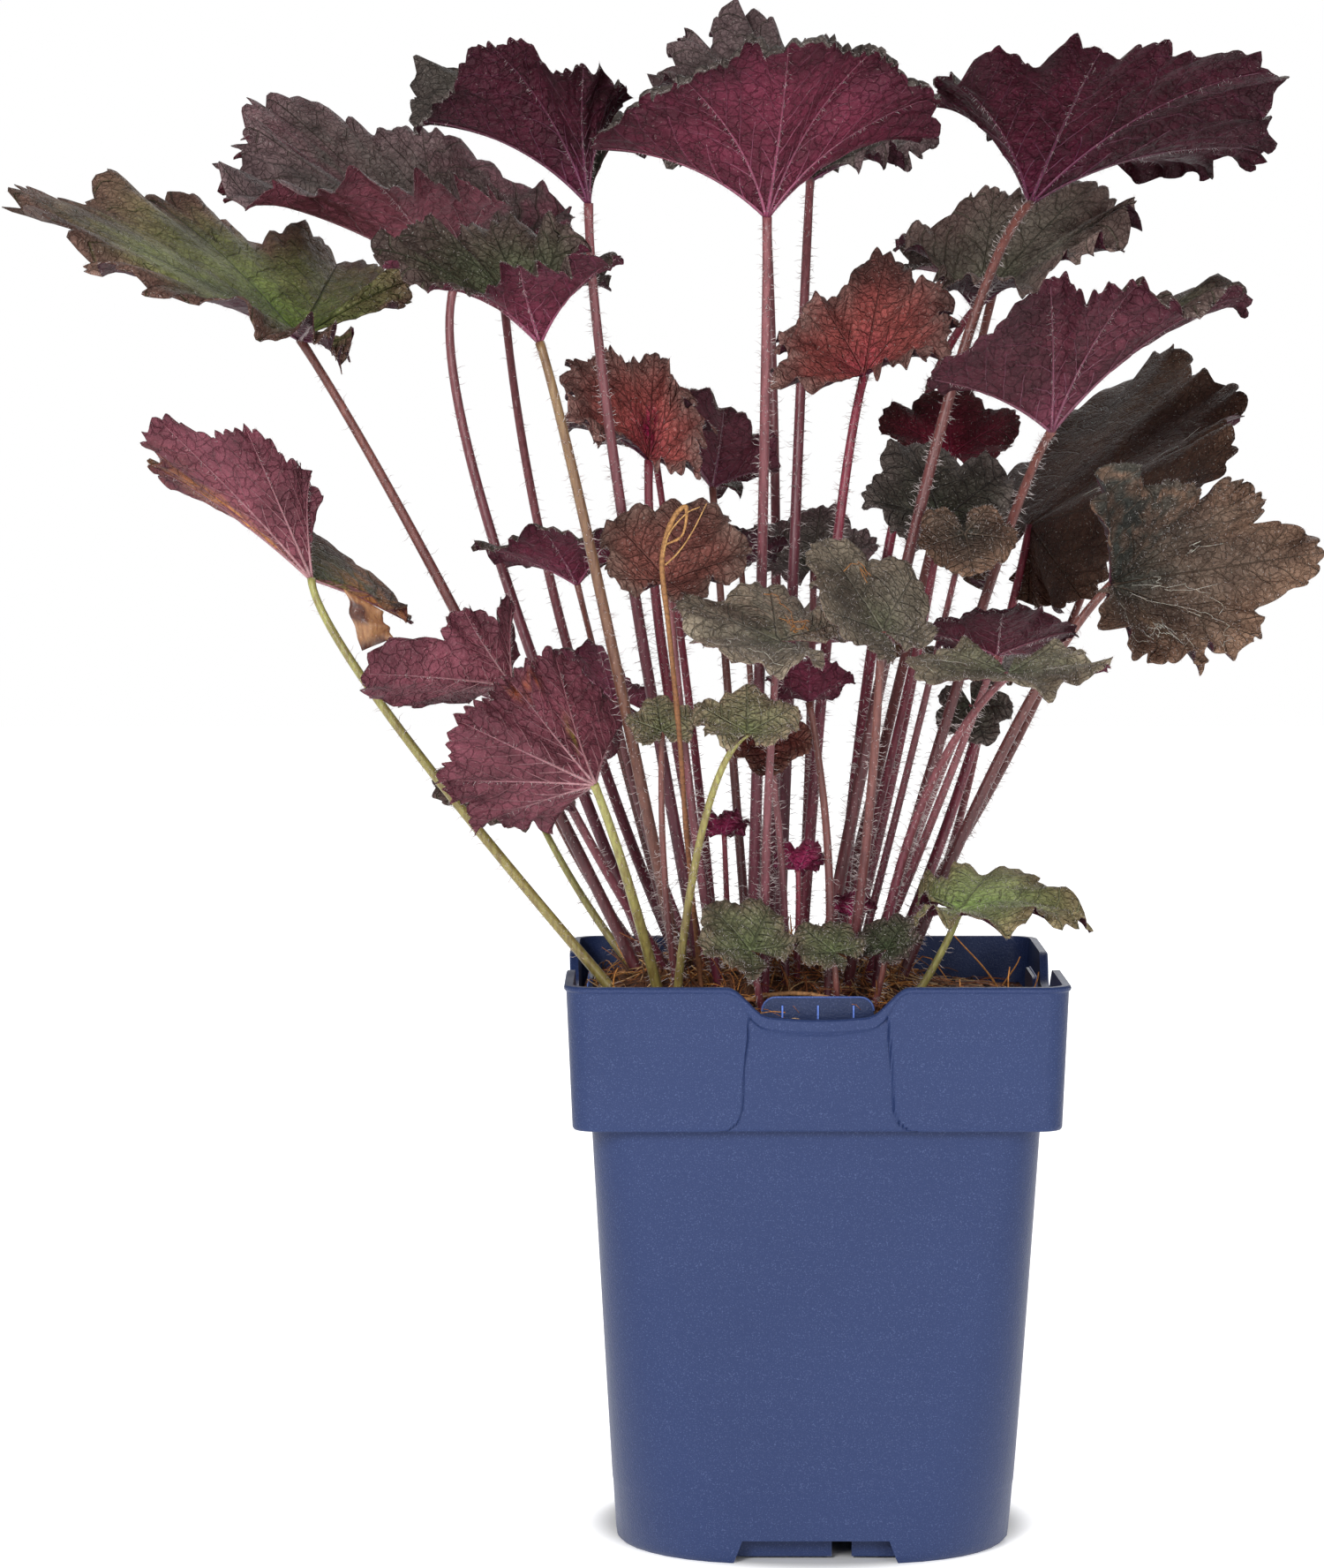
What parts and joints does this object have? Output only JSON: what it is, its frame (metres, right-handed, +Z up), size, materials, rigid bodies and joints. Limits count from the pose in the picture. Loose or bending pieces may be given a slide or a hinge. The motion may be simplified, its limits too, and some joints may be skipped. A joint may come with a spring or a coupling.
{
  "type": "potted heuchera plant",
  "caption": "Heuchera perennial with ruffled lobed purple, bronze and green leaves on hairy stalks, growing in a square tapered nursery pot filled with peat.",
  "frame": {"origin": "middle of the pot's underside, on the plane that it stands on", "axes": "+Z up, +X to the right and -Y to the front, square to the pot's sides"},
  "size_m": [0.4032, 0.2825, 0.4776],
  "materials": {
    "pot_plastic": "satin moulded navy blue plastic with a fine orange-peel grain",
    "peat": "moist dark brown peat with orange-brown coir fibres",
    "dry_straw": "dry orange-brown flower stalk, fibrous",
    "leaf_purple": "burgundy-purple leaf underside with paler raised veins, soft satin and finely hairy",
    "leaf_dark": "very dark grey-green upper side with a metallic bloom, purple below",
    "leaf_green": "mid green upper side with purple margins, purple below",
    "leaf_rust": "rusty red leaf with a brown bloom, crimson where light comes through",
    "leaf_brown": "brown-bronze leaf, matte",
    "leaf_bronze": "grey-bronze leaf with a pale hairy margin",
    "leaf_grey": "grey-green leaf with a silvery bloom and a pale margin",
    "leaf_pink": "pink-purple leaf with tan streaks",
    "leaf_crimson": "bright crimson leaf, lit through"
  },
  "bodies": {
    "root": {"pot": "pot_plastic", "soil": "peat", "dried_flower_stalk": "dry_straw", "leaf_top_centre": "leaf_purple", "leaf_top_left": "leaf_purple", "leaf_top_right": "leaf_purple", "leaf_top_back": "leaf_dark", "leaf_left_upper": "leaf_dark", "leaf_left_inner": "leaf_green", "leaf_left_far": "leaf_green", "leaf_left_fold": "leaf_pink", "leaf_left_star": "leaf_purple", "leaf_left_small": "leaf_purple", "leaf_left_low": "leaf_pink", "leaf_left_dark": "leaf_dark", "leaf_mid_rust": "leaf_rust", "leaf_mid_purple": "leaf_purple", "leaf_mid_red": "leaf_rust", "leaf_mid_wing": "leaf_purple", "leaf_mid_brown": "leaf_brown", "leaf_mid_tiny": "leaf_purple", "leaf_front_grey": "leaf_grey", "leaf_mid_grey": "leaf_grey", "leaf_front_green": "leaf_green", "leaf_front_tiny": "leaf_green", "leaf_mid_under": "leaf_purple", "leaf_right_upper": "leaf_purple", "leaf_right_brown": "leaf_brown", "leaf_right_low": "leaf_bronze", "leaf_right_green": "leaf_green", "leaf_mid_crimson": "leaf_crimson", "leaf_mid_dark": "leaf_dark", "leaf_back_dark": "leaf_dark", "leaf_right_tiny": "leaf_bronze", "leaf_right_wing": "leaf_grey", "leaf_right_plum": "leaf_purple", "leaf_right_drop": "leaf_dark", "leaf_rim_grey": "leaf_grey", "leaf_rim_small": "leaf_green", "leaf_rim_right": "leaf_green", "leaf_rim_wing": "leaf_green", "leaf_mid_copper": "leaf_rust", "leaf_young_a": "leaf_pink", "leaf_young_b": "leaf_pink", "leaf_young_c": "leaf_pink", "leaf_rear_top": "leaf_purple", "leaf_rear_right": "leaf_purple", "leaf_rear_left": "leaf_dark", "leaf_rear_mid": "leaf_rust", "leaf_rear_brown": "leaf_brown", "leaf_rear_low_right": "leaf_bronze", "leaf_rear_low": "leaf_grey", "leaf_rear_low_left": "leaf_purple"}
  },
  "joints": []
}
